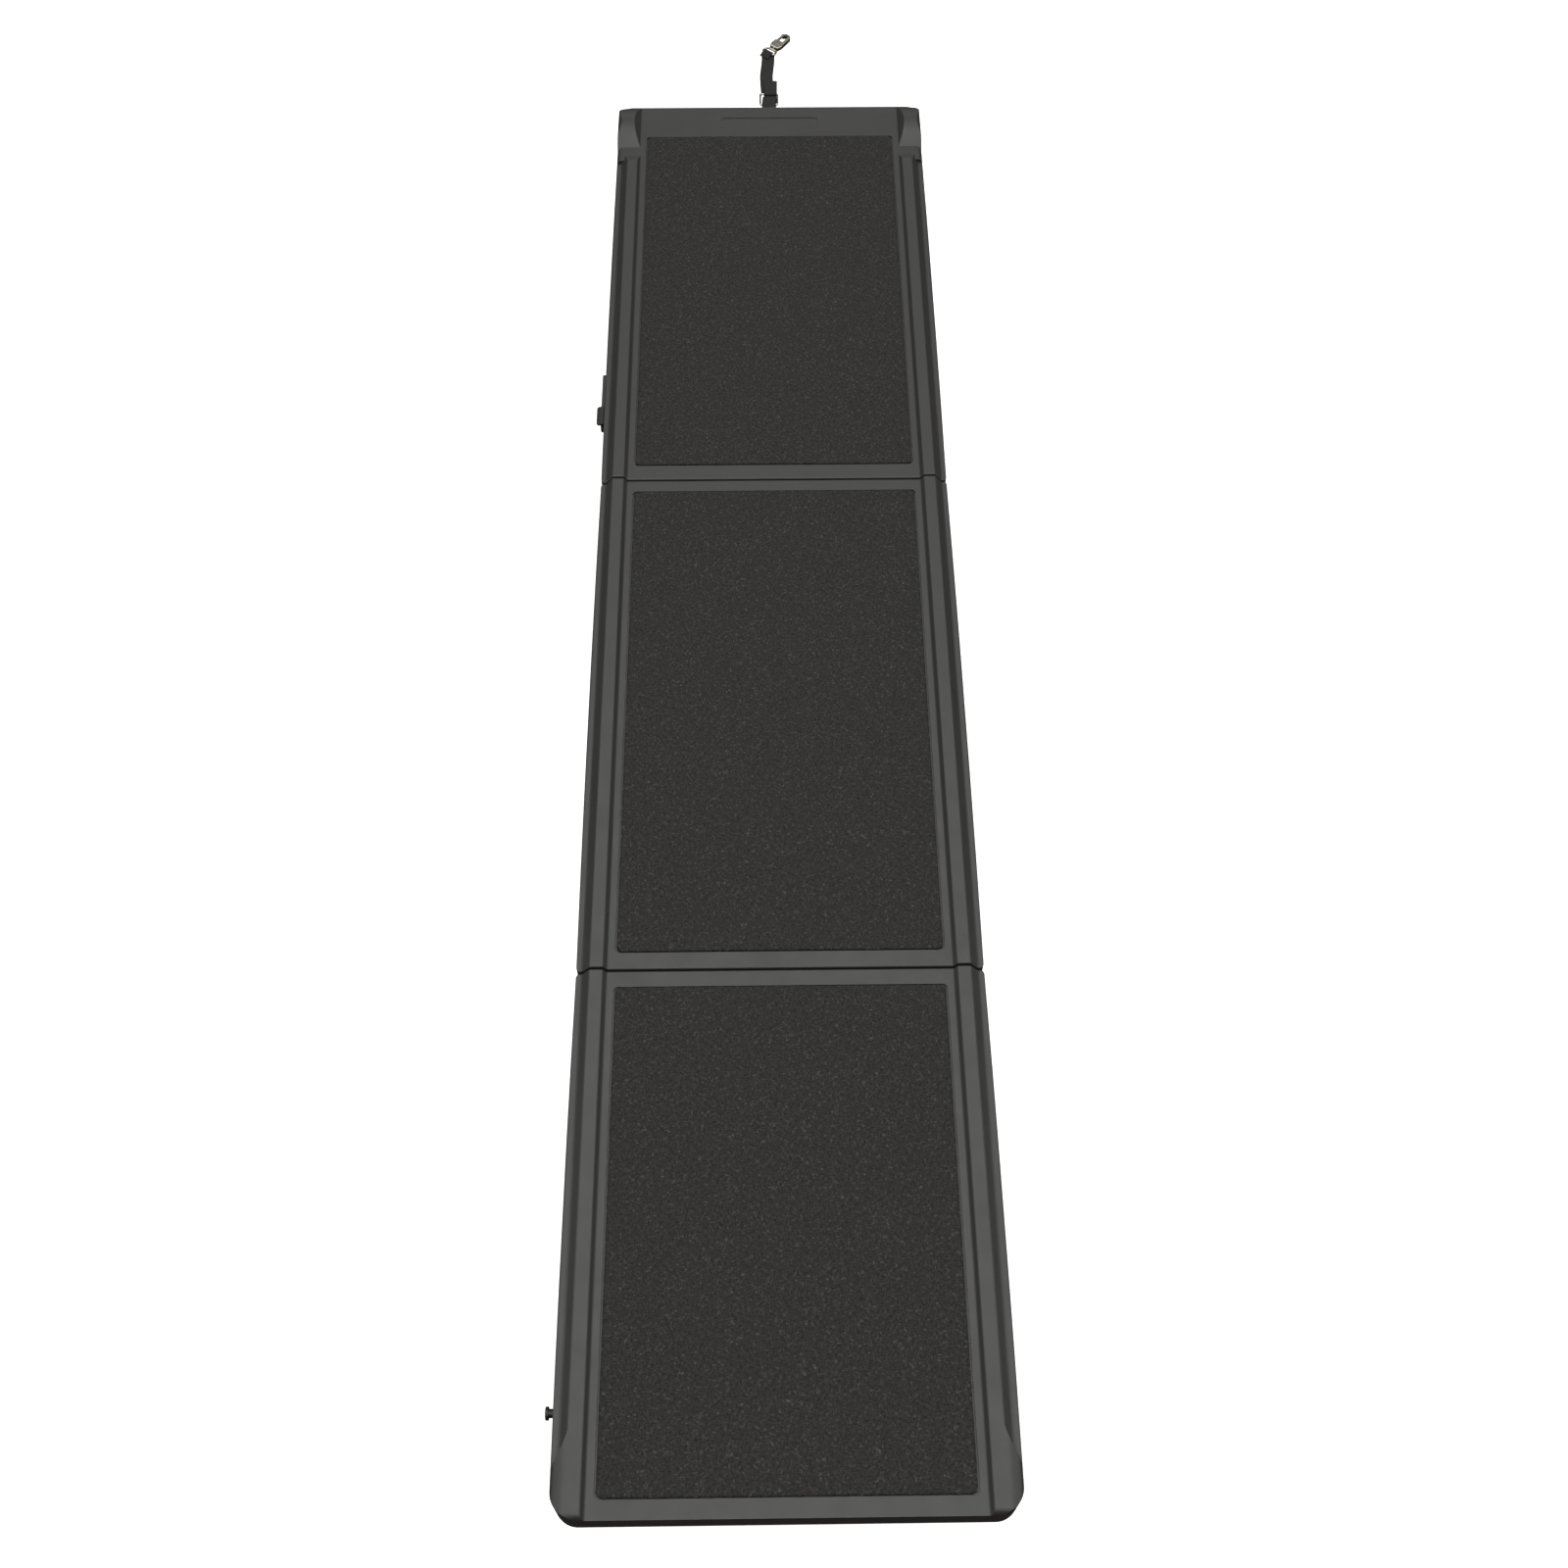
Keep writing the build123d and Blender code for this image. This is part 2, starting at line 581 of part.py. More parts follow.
def latch_reach():
    """Length of the latch arm from its pivot to the knob that it hooks, when folded."""
    along = MIDDLE_LENGTH - (PIVOT_Y - UPPER_SEAM) - (LOWER_SEAM - KNOB_Y)
    down = (UPPER_PITCH - 2 * PIN_RISE) - FOLD_CLEARANCE
    return hypot(along, down), 180 - degrees(atan2(down, along))


def latch_arm():
    """Flat plastic arm, pivoted at one end, with a notch that hooks the knob."""
    reach, _ = latch_reach()
    tip = PIVOT_Y - reach - 15.5
    bar = rounded([
        (tip, LATCH_Z - TIP_HALF, 5.0),
        (PIVOT_Y, LATCH_Z - ARM_EYE, 0),
        (PIVOT_Y, LATCH_Z + ARM_EYE, 0),
        (tip, LATCH_Z + TIP_HALF, 5.0),
    ])
    arm = prism_x(bar, -ARM_OUTER, -ARM_INNER) + rod(-ARM_OUTER, -ARM_INNER, PIVOT_Y, LATCH_Z, ARM_EYE)
    slot = KNOB_NECK + 0.35
    hook_y = PIVOT_Y - reach
    arm -= rod(-ARM_OUTER - 1, -ARM_INNER + 1, hook_y, LATCH_Z, slot)
    outer, inner, top = -ARM_OUTER - 1, -ARM_INNER + 1, LATCH_Z + TIP_HALF
    arm -= box(outer, inner, hook_y - slot, hook_y + slot, LATCH_Z - 12, LATCH_Z)
    arm -= rod(outer, inner, PIVOT_Y, LATCH_Z, LATCH_SCREW + FIT)
    arm -= rod(outer, -ARM_OUTER + 1.5, PIVOT_Y, LATCH_Z, 5.6)
    arm -= box(outer, -ARM_OUTER + 0.8, hook_y + 14, PIVOT_Y - 14, LATCH_Z - 3.5, LATCH_Z + 3.5)
    return arm - box(outer, inner, tip - 1, hook_y + 12.1, top, LATCH_Z + 12)


def thumb_tab():
    """Black thumb tab on the upper edge of the latch arm."""
    reach, _ = latch_reach()
    y0, y1 = PIVOT_Y - reach - 16, PIVOT_Y - reach + 12
    outer, low = -ARM_OUTER - 4.6, LATCH_Z + TIP_HALF
    outline = rounded([(outer, y0, 3.5), (-ARM_INNER, y0, 0.5), (-ARM_INNER, y1, 0.5), (outer, y1, 3.5)])
    tab = prism_z(outline, low, low + 3)
    for i in range(4):
        y = y0 + 7 + i * 4.6
        tab -= box(outer - 1.4, -ARM_OUTER - 1, y - 0.6, y + 0.6, low + 2.4, low + 4.5)
    return tab


def pivot_screw():
    """Shoulder screw of the latch arm, its head sunk in the arm."""
    head = rod(-ARM_OUTER + 0.1, -ARM_OUTER + 1.4, PIVOT_Y, LATCH_Z, 5.3)
    head -= rod(-ARM_OUTER - 1, -ARM_OUTER + 0.9, PIVOT_Y, LATCH_Z, 1.8)
    return head + rod(-ARM_OUTER + 1.4, -EDGE + WALL + 9.5, PIVOT_Y, LATCH_Z, LATCH_SCREW)


def hex_nut(y):
    """Nut inside the left wall, on the latch screw or the knob's shank."""
    inner = -EDGE + WALL + 4.1
    plane = Plane(origin=(inner, y, LATCH_Z), x_dir=(0, 1, 0), z_dir=(1, 0, 0))
    nut = extrude(plane * RegularPolygon(5.5, 6, major_radius=True), amount=4.6)
    return nut - rod(inner - 1, inner + 6, y, LATCH_Z, LATCH_SCREW + FIT)


def latch_washer():
    """Thin washer that gives the latch arm its drag."""
    ring = rod(-ARM_INNER + 0.05, -PAD_FACE - 0.05, PIVOT_Y, LATCH_Z, 8.0)
    return ring - rod(-ARM_INNER - 1, -PAD_FACE + 1, PIVOT_Y, LATCH_Z, LATCH_SCREW + FIT)


def latch_knob():
    """Mushroom pin that the latch arm hooks."""
    neck_end = -ARM_OUTER - 0.5
    knob = rod(-PAD_FACE - 0.1, -EDGE + WALL + 9.5, KNOB_Y, LATCH_Z, LATCH_SCREW)
    knob += rod(neck_end, -PAD_FACE - 0.1, KNOB_Y, LATCH_Z, KNOB_NECK)
    knob += rod(-KNOB_TIP, neck_end, KNOB_Y, LATCH_Z, KNOB_HEAD)
    rim = [e for e in knob.edges() if abs(e.center().X + KNOB_TIP) < 0.01]
    return fillet(rim, 0.9)


def anchor_plate():
    """Steel plate that clamps the tether under the vehicle end."""
    y = VEHICLE_END - 20
    plate = prism_z(Pos(0, y) * RectangleRounded(40, 21, 3), UNDER + 0.1, UNDER + 1.9)
    for x in (-15, 15):
        plate -= post(x, y, UNDER - 1, UNDER + 3, SCREW_RADIUS + FIT)
    return plate


def anchor_screws():
    """The two screws of the anchor plate."""
    return [screw(x, VEHICLE_END - 20, UNDER - 1.55, 10.0) for x in (-15, 15)]


def anchor_loop():
    """Doubled webbing from the anchor plate to the ring, closed round the ring's near bar."""
    outer = RING_RADIUS + 0.1 + WEB_THICK
    y1, low, high = VEHICLE_END, UNDER + 2.0, UNDER + 5.0
    spine = [
        (y1 - 31, low), (y1 - 4, low), (y1 + 12, 0.8), (RING_NEAR - 12, 0.6), (RING_NEAR, RING_Z - outer),
        (RING_NEAR, RING_Z + outer), (RING_NEAR - 12, 3.6), (y1 + 12, 3.8), (y1 - 4, high), (y1 - 31, high),
    ]
    middle = Pos(RING_NEAR + LOOP_SLACK / 2, RING_Z)
    outline = make_face(Polyline(*spine, close=True)) + middle * SlotCenterToCenter(LOOP_SLACK, 2 * outer)
    outline -= middle * SlotCenterToCenter(LOOP_SLACK, 2 * (RING_RADIUS + 0.1))
    return prism_x(outline, -9.7, 9.7)


def tether_ring():
    """Rectangular ring of round wire."""
    path = FilletPolyline(
        (-RING_HALF, RING_NEAR, RING_Z),
        (RING_HALF, RING_NEAR, RING_Z),
        (RING_HALF, RING_FAR, RING_Z),
        (-RING_HALF, RING_FAR, RING_Z),
        radius=RING_CORNER,
        close=True,
    )
    start = Plane(origin=path @ 0, z_dir=path % 0)
    return sweep(start * Circle(RING_RADIUS), path=path)


def strap_tail():
    """The strap's end, folded round the ring's far bar and stitched down over the strap."""
    outer = RING_RADIUS + 0.1 + WEB_THICK
    y0, y1, low = RING_FAR, RING_FAR + TAIL_LENGTH, STRAP_POINTS[0][1] + WEB_THICK / 2 + 0.1
    spine = [
        (y0, RING_Z - outer), (y0 + 4, RING_Z - outer + 0.2), (y0 + 4, low),
        (y1, low), (y1, low + WEB_THICK), (y0 + 9, low + 1.6 * WEB_THICK), (y0, RING_Z + outer),
    ]
    outline = make_face(Polyline(*spine, close=True)) + Pos(y0, RING_Z) * Circle(outer)
    outline -= Pos(y0, RING_Z) * Circle(RING_RADIUS + 0.1)
    return prism_x(outline, -WEBBING / 2, WEBBING / 2)


def strap():
    """The webbing between the ring and the snap hook, lying on the ground, with its fold on the hook."""
    half = WEB_THICK / 2
    upper = [(RING_FAR + along, height + half) for along, height in STRAP_POINTS]
    lower = [(RING_FAR + along, height - half) for along, height in STRAP_POINTS]
    run = prism_x(make_face(Polyline(*upper, *reversed(lower), close=True)), -WEBBING / 2, WEBBING / 2)
    return run - at_hook(box(-30, 30, 0, 30, -10, 10)) + strap_fold()


def strap_fold():
    """The strap's other end, folded round the straight bar of the hook's eye and sewn down."""
    outer = EYE_WIRE + 0.1 + WEB_THICK + 0.06
    spine = [
        (0, -outer),
        (-FOLD_LENGTH, -outer),
        (-FOLD_LENGTH, -outer + 2 * WEB_THICK),
        (-FOLD_LENGTH + 3, -outer + 2.4 * WEB_THICK),
        (0, outer),
    ]
    outline = make_face(Polyline(*spine, close=True)) + Circle(outer) - Circle(EYE_WIRE + 0.1)
    return at_hook(prism_x(outline, -FOLD_HALF, FOLD_HALF))


def at_hook(piece):
    """Places a piece of the snap hook, drawn along +Y from the middle of its eye's straight bar."""
    height = STRAP_POINTS[-1][1] + WEB_THICK / 2 + 0.1 + EYE_WIRE
    return Pos(0, EYE_Y, height) * Rot(0, 0, HOOK_TURN) * piece


def stem(radius, middle, length):
    """A cylinder along the hook's own line."""
    return Pos(0, middle, 0) * Rot(90, 0, 0) * Cylinder(radius, length)


def snap_eye():
    """Swivel eye with a straight bar for the webbing, and its post."""
    path = FilletPolyline(
        (-EYE_HALF, 0, 0),
        (EYE_HALF, 0, 0),
        (EYE_FAR_HALF, EYE_DEPTH, 0),
        (-EYE_FAR_HALF, EYE_DEPTH, 0),
        radius=2.4,
        close=True,
    )
    start = Plane(origin=path @ 0, z_dir=path % 0)
    eye = sweep(start * Circle(EYE_WIRE), path=path) + stem(STEM_RADIUS, STEM_MIDDLE, STEM_LENGTH)
    return at_hook(eye + stem(STEM_HEAD_RADIUS, STEM_HEAD_MIDDLE, STEM_HEAD_LENGTH))


def snap_body():
    """Flat cast hook, open on its left side, with the socket that the eye's post turns in."""
    thick = HOOK_THICK_HALF
    outline = rounded(mirrored([
        (HOOK_NECK_HALF, HOOK_LOW, 2.0),
        (HOOK_HALF, HOOK_SHOULDER, 4.0),
        (HOOK_TIP_HALF, HOOK_HIGH, 6.8),
    ]))
    inner = rounded([(-4.2, 28.0, 1.5), (4.2, 28.0, 1.5), (3.8, 42.4, 3.6), (-3.8, 42.4, 3.6)])
    body = prism_z(outline, -thick, thick)
    rims = body.edges().group_by(Axis.Z)
    body = fillet(rims[0] + rims[-1], HOOK_EDGE) - prism_z(inner, -4, 4)
    body -= box(-10, -3.2, 24.0, GATE_TOP + 0.4, -1.3, 1.3)
    body -= box(-10, -3.2, GATE_Y + 2.2, GATE_TOP + 0.4, -4, 4)
    body -= stem(STEM_RADIUS + 0.15, STEM_MIDDLE, 9.4)
    body -= stem(STEM_HEAD_RADIUS + 0.15, STEM_HEAD_MIDDLE, STEM_HEAD_LENGTH + 0.4)
    return at_hook(body - post(GATE_X, GATE_Y, -4, 4, GATE_PIN_RADIUS + FIT))


def snap_gate():
    """Spring gate that closes the hook's open side and swings inwards."""
    outer, inner = -7.7, -4.6
    bar = rounded([(outer, GATE_Y, 0), (inner, GATE_Y, 0), (inner, GATE_TOP, 1.0), (outer, GATE_TOP, 1.0)])
    gate = prism_z(bar, -GATE_HALF_THICK, GATE_HALF_THICK)
    gate += post(GATE_X, GATE_Y, -GATE_HALF_THICK, GATE_HALF_THICK, 1.5)
    return at_hook(gate - post(GATE_X, GATE_Y, -2, 2, GATE_PIN_RADIUS + FIT))


def snap_pin():
    """Rivet that the gate turns on."""
    return at_hook(post(GATE_X, GATE_Y, -HOOK_THICK_HALF, HOOK_THICK_HALF, GATE_PIN_RADIUS))


def main():
    """Writes every node of the ramp."""
    lower_low, lower_high = LOWER_SEAM - LOWER_PITCH / 2, LOWER_SEAM + LOWER_PITCH / 2
    upper_low, upper_high = UPPER_SEAM - UPPER_PITCH / 2, UPPER_SEAM + UPPER_PITCH / 2
    ground = (GROUND_END, LOWER_SEAM - SEAM_GAP / 2)
    middle = (LOWER_SEAM + SEAM_GAP / 2, UPPER_SEAM - SEAM_GAP / 2)
    vehicle = (UPPER_SEAM + SEAM_GAP / 2, VEHICLE_END)
    nodes = {
        "ground_deck_shell": ground_deck(),
        "ground_base_pan": ground_pan(),
        "ground_pan_screws": pan_screws(*ground),
        "ground_mat": mat(*GROUND_MAT),
        "ground_mat_strips": mat_strips(*GROUND_MAT),
        "ground_grip_strip": grip_strip(0.0),
        "middle_deck_shell": middle_deck(),
        "middle_base_pan": middle_pan(),
        "middle_pan_screws": pan_screws(*middle),
        "middle_mat": mat(*MIDDLE_MAT),
        "middle_mat_strips": mat_strips(*MIDDLE_MAT),
        "vehicle_deck_shell": vehicle_deck(),
        "vehicle_base_pan": vehicle_pan(),
        "vehicle_pan_screws": pan_screws(*vehicle),
        "vehicle_mat": mat(*VEHICLE_MAT),
        "vehicle_mat_strips": mat_strips(*VEHICLE_MAT),
        "vehicle_grip_strip": grip_strip(VEHICLE_END - 56),
        "lower_hinge_links": links(LOWER_SEAM, LOWER_PITCH),
        "lower_hinge_ground_brackets": brackets(lower_low, -1),
        "lower_hinge_middle_brackets": brackets(lower_high, 1),
        "lower_hinge_ground_pins": pins(lower_low),
        "lower_hinge_middle_pins": pins(lower_high),
        "upper_hinge_links": links(UPPER_SEAM, UPPER_PITCH),
        "upper_hinge_middle_brackets": brackets(upper_low, -1),
        "upper_hinge_vehicle_brackets": brackets(upper_high, 1),
        "upper_hinge_middle_pins": pins(upper_low),
        "upper_hinge_vehicle_pins": pins(upper_high),
        "ground_bracket_screws": flange_screws([(lower_low, -1)]),
        "middle_bracket_screws": flange_screws([(lower_high, 1), (upper_low, -1)]),
        "vehicle_bracket_screws": flange_screws([(upper_high, 1)]),
        "latch_arm": latch_arm(),
        "latch_thumb_tab": thumb_tab(),
        "latch_pivot_screw": pivot_screw(),
        "latch_pivot_nut": hex_nut(PIVOT_Y),
        "latch_washer": latch_washer(),
        "latch_knob": latch_knob(),
        "latch_knob_nut": hex_nut(KNOB_Y),
        "tether_anchor_plate": anchor_plate(),
        "tether_anchor_screws": anchor_screws(),
        "tether_anchor_loop": anchor_loop(),
        "tether_ring": tether_ring(),
        "tether_strap_tail": strap_tail(),
        "tether_strap": strap(),
        "snap_hook_eye": snap_eye(),
        "snap_hook_body": snap_body(),
        "snap_hook_gate": snap_gate(),
        "snap_hook_gate_pin": snap_pin(),
    }
    os.makedirs("parts", exist_ok=True)
    for name, shape in nodes.items():
        solids = shape if isinstance(shape, list) else shape.solids()
        export_step(Compound(children=solids) if len(solids) > 1 else solids[0], f"parts/{name}.step")
    reach, swing = latch_reach()
    print("latch reach", round(reach, 2), "swing", round(swing, 2))
    print("pins", lower_low, lower_high, upper_low, upper_high, "pivot", PIVOT_Y, "knob", KNOB_Y)


main()
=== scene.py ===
"""Visual model of the three-section folding dog ramp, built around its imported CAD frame, in metres."""

import json
from math import cos, pi, radians, sin, sqrt

import bmesh
import bpy
from mathutils import Matrix, Vector, noise


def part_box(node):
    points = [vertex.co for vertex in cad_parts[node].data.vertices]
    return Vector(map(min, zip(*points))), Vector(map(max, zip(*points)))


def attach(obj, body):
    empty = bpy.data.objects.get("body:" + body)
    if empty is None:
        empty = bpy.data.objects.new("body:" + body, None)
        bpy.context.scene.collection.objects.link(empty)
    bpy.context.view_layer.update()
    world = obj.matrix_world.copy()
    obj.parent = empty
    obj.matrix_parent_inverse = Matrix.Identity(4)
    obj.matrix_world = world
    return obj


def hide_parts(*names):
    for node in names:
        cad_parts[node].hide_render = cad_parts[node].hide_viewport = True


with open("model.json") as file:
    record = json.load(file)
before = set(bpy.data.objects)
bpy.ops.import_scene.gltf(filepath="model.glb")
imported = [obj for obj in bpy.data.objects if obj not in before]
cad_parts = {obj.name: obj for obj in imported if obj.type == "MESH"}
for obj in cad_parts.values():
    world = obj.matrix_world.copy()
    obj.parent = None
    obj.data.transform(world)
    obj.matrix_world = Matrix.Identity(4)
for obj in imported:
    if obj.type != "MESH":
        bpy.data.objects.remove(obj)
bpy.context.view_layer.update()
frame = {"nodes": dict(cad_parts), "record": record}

MM = 0.001
SIDEWAYS = Vector((1, 0, 0))

# Camera: a standing person's view from just behind the ground end
CAMERA_PLACE = Vector((-0.012, -0.29967, 1.68306))
CAMERA_YAW = radians(1.052)
CAMERA_PITCH = radians(58.542)
CAMERA_ROLL = radians(0.373)
CAMERA_LENS = 42.047
CAMERA_SENSOR = 36.0

FLOOR_LEVEL = -0.14  # the folded stack reaches 0.13 below the ramp's underside

# Mats
MAT_STEP = 2.0 * MM
MAT_CORNER = 5.0 * MM
MAT_NAP = 0.22 * MM  # height of the tufts
MAT_FRAY = 0.35 * MM  # how far the cut edge wanders
MAT_EDGE_DROP = 0.7 * MM  # how far the rolled edge lies below the face

# Tether
WEBBING = 18.4 * MM
LOOP_WIDTH = 19.4 * MM
WEB_THICK = 1.5 * MM
RIB_PITCH = 1.3 * MM
RIB_SWELL = 0.09
RINGS_PER_RIB = 4
FACE_POINTS = 9  # points across each face of a band
PLAY = 0.12 * MM  # between webbing and what it wraps or rests on
RING_WIRE = 1.5 * MM  # radius
LOOP_SLACK = 12.5 * MM  # how far the anchor loop reaches past the ring's near bar
# The strap's route: past the ring's far bar, sideways, and above the ramp's underside, in millimetres
STRAP_ROUTE = [
    (4.5, -1.6, 1.1),
    (36.5, -3.4, 1.1),
    (50.0, -2.4, 2.4),
    (62.0, -1.2, 2.4),
    (75.0, -0.4, 1.1),
    (89.0, 0.0, 1.1),
]
EYE_PLACE = Vector((0.0, 1947.0, 3.65)) * MM  # middle of the hook eye's straight bar
EYE_WIRE = 1.7 * MM
HOOK_TURN = radians(-38.0)
STRAP_HEIGHT = 1.1 * MM  # the strap's middle where it lies flat
FOLD_WIDTH = 15.0 * MM
STITCH_PITCH = 2.4 * MM
THREAD_RADIUS = 0.28 * MM
THREAD_SIDES = 6
BEAD_RINGS = 5

# Looks
GRAIN_DEPTH = 0.035 * MM  # moulded grain
EDGE_WEAR = 0.5
SCRATCH_SHARE = 0.5
WARP_YARNS = 11

# Studio
FLOOR_REACH = 12.0
CEILING_FROM = sin(radians(30.0))  # where the bright ceiling starts
CEILING_FULL = sin(radians(72.0))  # and where it is full
CEILING = (1.30, 1.30, 1.28, 1.0)
ROOM = (0.045, 0.040, 0.033, 1.0)


# ---------------------------------------------------------------- materials


class Nodes:
    """A small helper to write a material's node tree."""

    def __init__(self, name):
        self.material = bpy.data.materials.new(name)
        self.material.use_nodes = True
        self.tree = self.material.node_tree
        self.shader = self.tree.nodes["Principled BSDF"]

    def add(self, kind, **values):
        """Adds a node. Values with a socket's name set it, and others set a property."""
        node = self.tree.nodes.new(kind)
        for key, value in values.items():
            if hasattr(node, key):
                setattr(node, key, value)
            else:
                node.inputs[key.replace("_", " ")].default_value = value
        return node

    def link(self, source, target):
        """Joins an output socket to an input socket."""
        self.tree.links.new(source, target)

    def place(self, scale=(1, 1, 1), turn=0.0):
        """The point on the piece, in metres, times scale."""
        source = self.add("ShaderNodeTexCoord").outputs["Object"]
        mapping = self.add("ShaderNodeMapping")
        mapping.inputs["Scale"].default_value = scale
        mapping.inputs["Rotation"].default_value = (0, 0, turn)
        self.link(source, mapping.inputs["Vector"])
        return mapping.outputs["Vector"]

    def noise(self, place, scale, detail=3.0, rough=0.55):
        """A noise pattern from 0 to 1."""
        node = self.add("ShaderNodeTexNoise", Scale=scale, Detail=detail, Roughness=rough)
        self.link(place, node.inputs["Vector"])
        return node.outputs["Fac"]

    def cells(self, place, scale, feature="F1", output="Distance"):
        """A cell pattern."""
        node = self.add("ShaderNodeTexVoronoi", feature=feature, Scale=scale)
        self.link(place, node.inputs["Vector"])
        return node.outputs[output]

    def wave(self, place, scale):
        """Slightly wavy bands along X, from 0 to 1."""
        node = self.add("ShaderNodeTexWave", Scale=scale, Distortion=1.0, Detail=1.0)
        node.bands_direction = "X"
        self.link(place, node.inputs["Vector"])
        return node.outputs["Fac"]

    def spread(self, value, low, high, to_low=0.0, to_high=1.0):
        """Maps low..high of a value to to_low..to_high, and clamps it."""
        node = self.add("ShaderNodeMapRange")
        node.inputs["From Min"].default_value = low
        node.inputs["From Max"].default_value = high
        node.inputs["To Min"].default_value = to_low
        node.inputs["To Max"].default_value = to_high
        self.link(value, node.inputs["Value"])
        return node.outputs["Result"]

    def sum(self, first, second, kind="ADD"):
        """A Math node on two sockets or numbers."""
        node = self.add("ShaderNodeMath", operation=kind)
        for socket, value in zip(node.inputs, (first, second)):
            if isinstance(value, (int, float)):
                socket.default_value = value
            else:
                self.link(value, socket)
        return node.outputs["Value"]

    def blend(self, share, dark, light):
        """A colour between two colours or sockets."""
        node = self.add("ShaderNodeMix", data_type="RGBA")
        self.link(share, node.inputs[0])
        for socket, value in ((node.inputs[6], dark), (node.inputs[7], light)):
            if isinstance(value, tuple):
                socket.default_value = (*value, 1.0)
            else:
                self.link(value, socket)
        return node.outputs[2]

    def bump(self, height, depth, strength=1.0, before=None):
        """Bumps the surface by height times depth, in metres."""
        node = self.add("ShaderNodeBump", Strength=strength, Distance=depth)
        self.link(height, node.inputs["Height"])
        if before is not None:
            self.link(before, node.inputs["Normal"])
        return node.outputs["Normal"]

    def edges(self, radius):
        """How sharply the surface turns within radius, from 0 on a flat to 1 on a sharp edge."""
        bevel = self.add("ShaderNodeBevel", samples=4, Radius=radius)
        normal = self.add("ShaderNodeNewGeometry").outputs["Normal"]
        dot = self.add("ShaderNodeVectorMath", operation="DOT_PRODUCT")
        self.link(bevel.outputs["Normal"], dot.inputs[0])
        self.link(normal, dot.inputs[1])
        return self.spread(dot.outputs["Value"], 0.999, 0.86)

    def finish(self, colour=None, rough=None, normal=None, **sockets):
        """Wires the shader and returns the material."""
        for socket, value in (("Base Color", colour), ("Roughness", rough), ("Normal", normal)):
            if value is not None:
                self.link(value, self.shader.inputs[socket])
        for name, value in sockets.items():
            self.shader.inputs[name.replace("_", " ")].default_value = value
        return self.material


def moulded_plastic(name, dark, light, rough):
    """Satin moulded plastic: fine spark-erosion grain, faint flow marks, scuffs and polished edges."""
    n = Nodes(name)
    place = n.place()
    drift = n.noise(place, 9.0, 2.0)
    flow = n.noise(n.place(scale=(30.0, 1.2, 30.0)), 1.0, 3.0)
    pits = n.cells(place, 1500.0)
    fine = n.noise(place, 2600.0, 2.0)
    scuff = n.spread(n.noise(n.place(scale=(260.0, 9.0, 60.0), turn=0.35), 1.0, 4.0, 0.6), 0.66, 0.74)
    patch = n.spread(n.noise(place, 14.0, 2.0), 0.5, 0.62)
    scuff = n.sum(scuff, patch, "MULTIPLY")
    edge = n.sum(n.edges(1.2 * MM), n.spread(n.noise(place, 120.0), 0.42, 0.62), "MULTIPLY")
    body = n.blend(n.sum(n.sum(drift, flow), 0.5, "MULTIPLY"), dark, light)
    worn = tuple(min(1.0, value * 1.9 + 0.01) for value in light)
    body = n.blend(n.sum(scuff, 0.35, "MULTIPLY"), body, worn)
    body = n.blend(n.sum(edge, EDGE_WEAR, "MULTIPLY"), body, worn)
    shine = n.spread(n.noise(place, 40.0), 0.3, 0.7, rough - 0.05, rough + 0.06)
    shine = n.sum(shine, n.sum(edge, 0.12, "MULTIPLY"), "SUBTRACT")
    height = n.sum(n.sum(pits, fine), 0.5, "MULTIPLY")
    normal = n.bump(height, GRAIN_DEPTH)
    normal = n.bump(scuff, 0.02 * MM, 0.5, normal)
    return n.finish(body, shine, normal, Specular_IOR_Level=0.5)


def traction_textile():
    """Needled textile with a hard fibrous nap: dark, even, with scattered light fibre ends that carry
    painted glints.
    """
    n = Nodes("mat_textile")
    place = n.place()
    tufts = n.cells(place, 420.0)
    fibres = n.noise(n.place(scale=(900.0, 260.0, 600.0), turn=0.6), 1.0, 3.0)
    cross = n.noise(n.place(scale=(240.0, 1000.0, 600.0), turn=-0.4), 1.0, 3.0)
    ends = n.spread(n.cells(place, 560.0, output="Color"), 0.45, 0.80)
    # Light fibre ends, lit up in patches by painted glints: a painted highlight in the base colour.
    painted_glint = n.spread(n.noise(place, 330.0, 4.0, 0.8), 0.50, 0.66)
    fibre_ends_and_glints = n.sum(ends, painted_glint, "MULTIPLY")
    tone = n.sum(n.sum(fibres, cross), 0.5, "MULTIPLY")
    body = n.blend(n.spread(tone, 0.36, 0.64), (0.0150, 0.0147, 0.0137), (0.047, 0.0463, 0.0437))
    # The specks lighten the colour: light fibre ends plus painted glints.
    body = n.blend(n.sum(fibre_ends_and_glints, 0.7, "MULTIPLY"), body, (0.125, 0.122, 0.113))
    rough = n.spread(tufts, 0.0, 0.8, 0.78, 0.98)
    normal = n.bump(n.sum(n.sum(fibres, cross), tufts), 0.4 * MM)
    return n.finish(body, rough, normal, Specular_IOR_Level=0.12)


